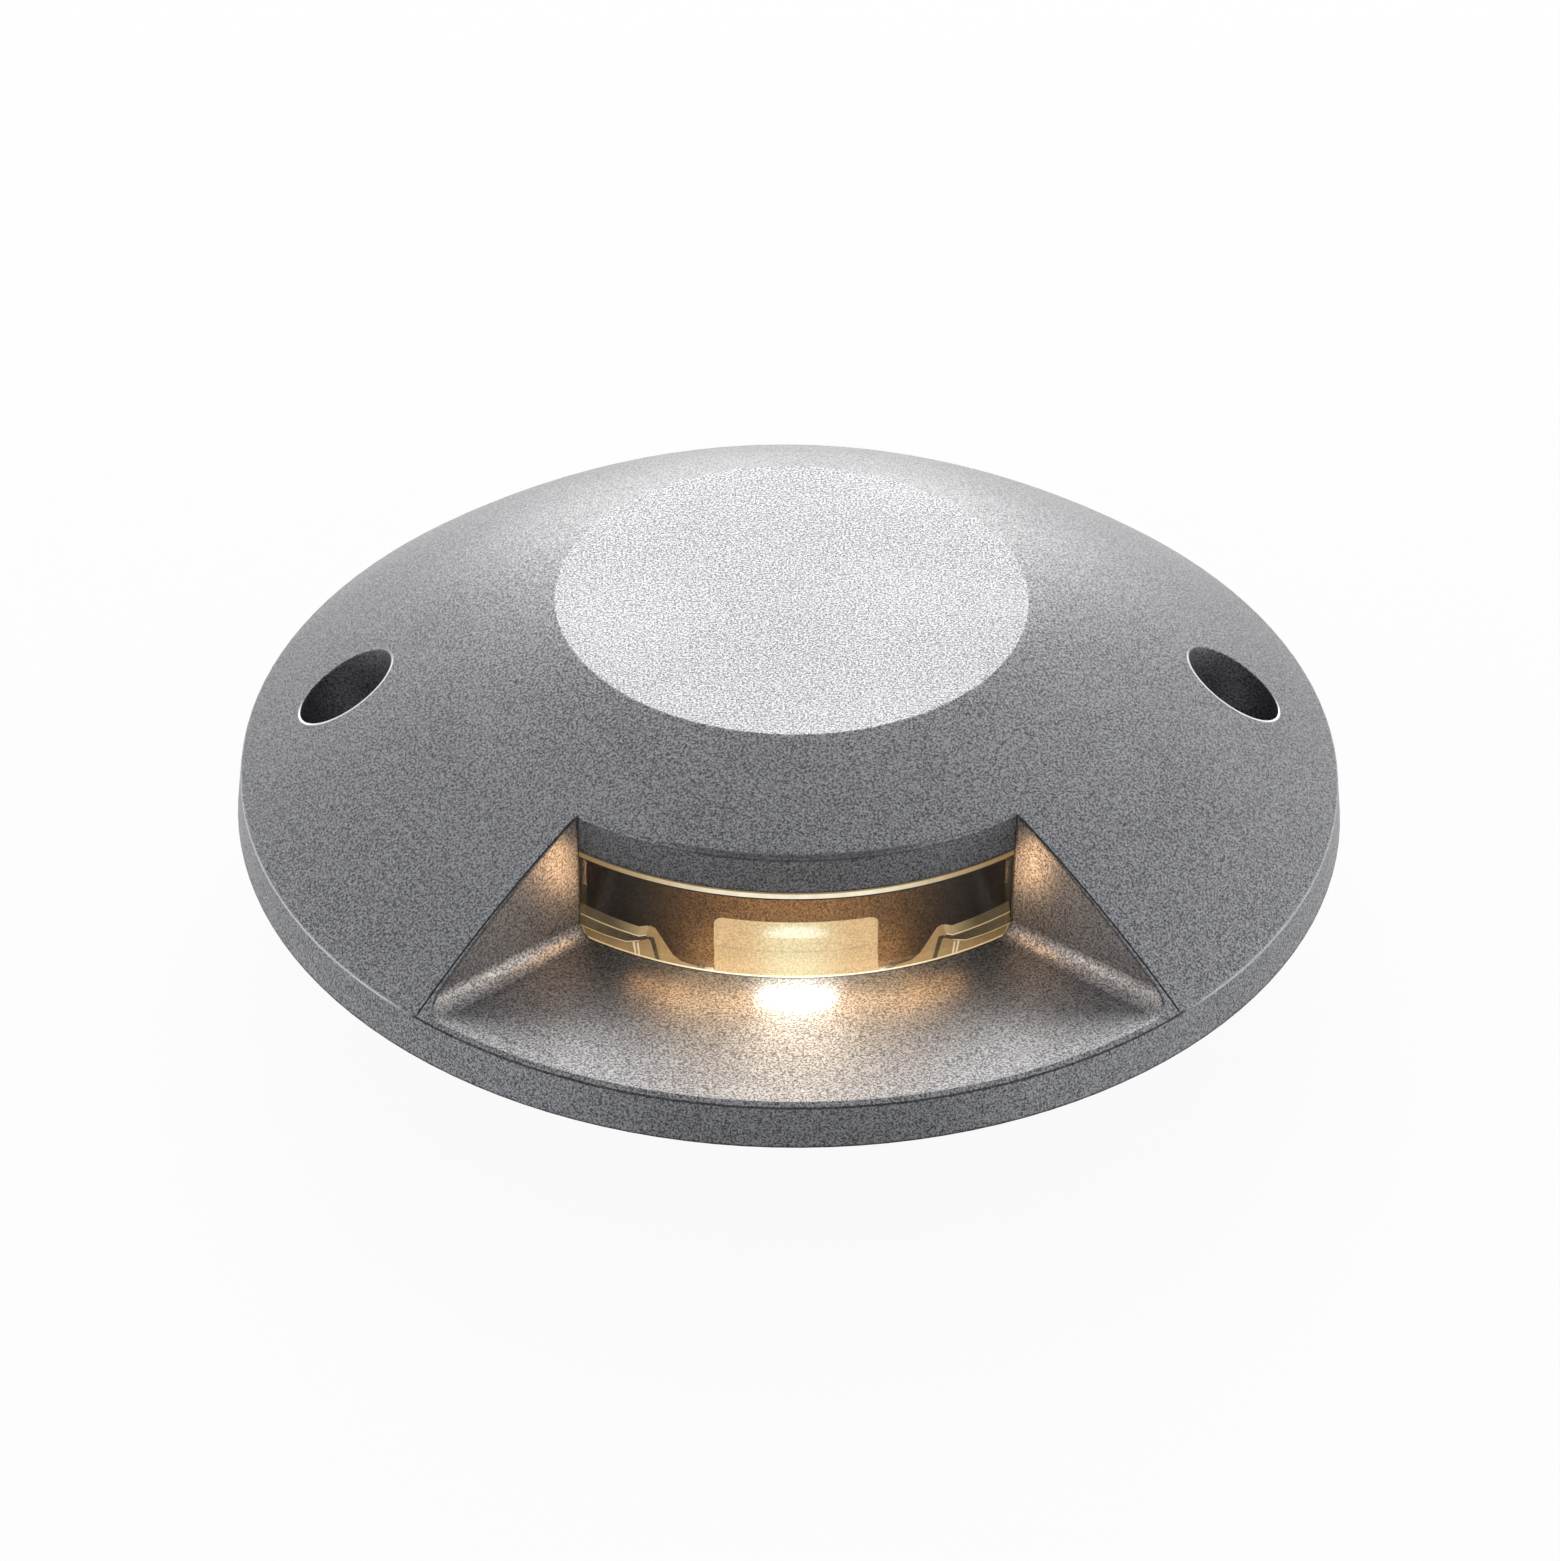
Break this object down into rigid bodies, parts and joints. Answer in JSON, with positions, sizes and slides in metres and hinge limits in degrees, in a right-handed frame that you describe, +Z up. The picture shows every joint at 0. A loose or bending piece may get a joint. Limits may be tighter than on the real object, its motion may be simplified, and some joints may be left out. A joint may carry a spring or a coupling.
{
  "type": "in-ground marker light",
  "caption": "Domed drive-over in-ground light: cast cover with one splayed window and a curved lens, over a sealed round housing that sinks into the paving.",
  "frame": {"origin": "centre of the rim's underside, level with the paving", "axes": "+Z up out of the paving, the window faces -Y, the two screw wells lie on X"},
  "size_m": [0.19, 0.19, 0.0652],
  "materials": {
    "cast_grey": "fine textured metallic grey powder coat",
    "clear_lens": "clear moulded, polished",
    "silicone": "translucent silicone",
    "keeper_plastic": "moulded, satin",
    "chamber_metal": "fine textured metallic coat",
    "steel": "stainless, satin",
    "reflector_metal": "bright rolled sheet",
    "board_white": "white solder mask",
    "phosphor": "warm phosphor, lit",
    "thermal_pad": "soft thermal pad",
    "extrusion": "extruded, plain",
    "lead_jacket": "silicone-jacketed wire",
    "housing_cast": "dark primer coat on cast metal",
    "black_rubber": "black seal rubber",
    "liner": "insulating sheet",
    "board_green": "green solder mask",
    "ferrite": "sintered ferrite",
    "copper_winding": "enamelled copper winding",
    "can_sleeve": "plain sleeve",
    "chip_black": "moulded epoxy",
    "terminal_green": "moulded terminal block",
    "plated_brass": "plated",
    "gland_plastic": "black polyamide",
    "gland_rubber": "grey seal rubber"
  },
  "bodies": {
    "root": {"cover": "cast_grey", "lens": "clear_lens", "lens_gasket": "silicone", "sill_gasket": "silicone", "lens_keepers": "keeper_plastic", "light_chamber": "chamber_metal", "chamber_screws": "steel", "reflector": "reflector_metal", "led_board": "board_white", "led_emitters": "phosphor", "led_pad": "thermal_pad", "led_screws": "steel", "heat_sink": "extrusion", "heat_pad": "thermal_pad", "heat_sink_screws": "steel", "led_leads": "lead_jacket", "ground_housing": "housing_cast", "housing_seal": "black_rubber", "housing_screws": "steel", "rim_seal": "black_rubber", "insulator": "liner", "driver_board": "board_green", "driver_screws": "steel", "transformer_core": "ferrite", "transformer_coil": "copper_winding", "capacitors": "can_sleeve", "choke": "copper_winding", "driver_chips": "chip_black", "terminal_block": "terminal_green", "terminal_screws": "plated_brass", "earth_lug": "plated_brass", "earth_screw": "plated_brass", "gland_body": "gland_plastic", "gland_locknut": "gland_plastic", "gland_seal": "gland_rubber", "gland_cap": "gland_plastic", "vent_plug": "gland_plastic", "vent_seal": "black_rubber"}
  },
  "joints": []
}
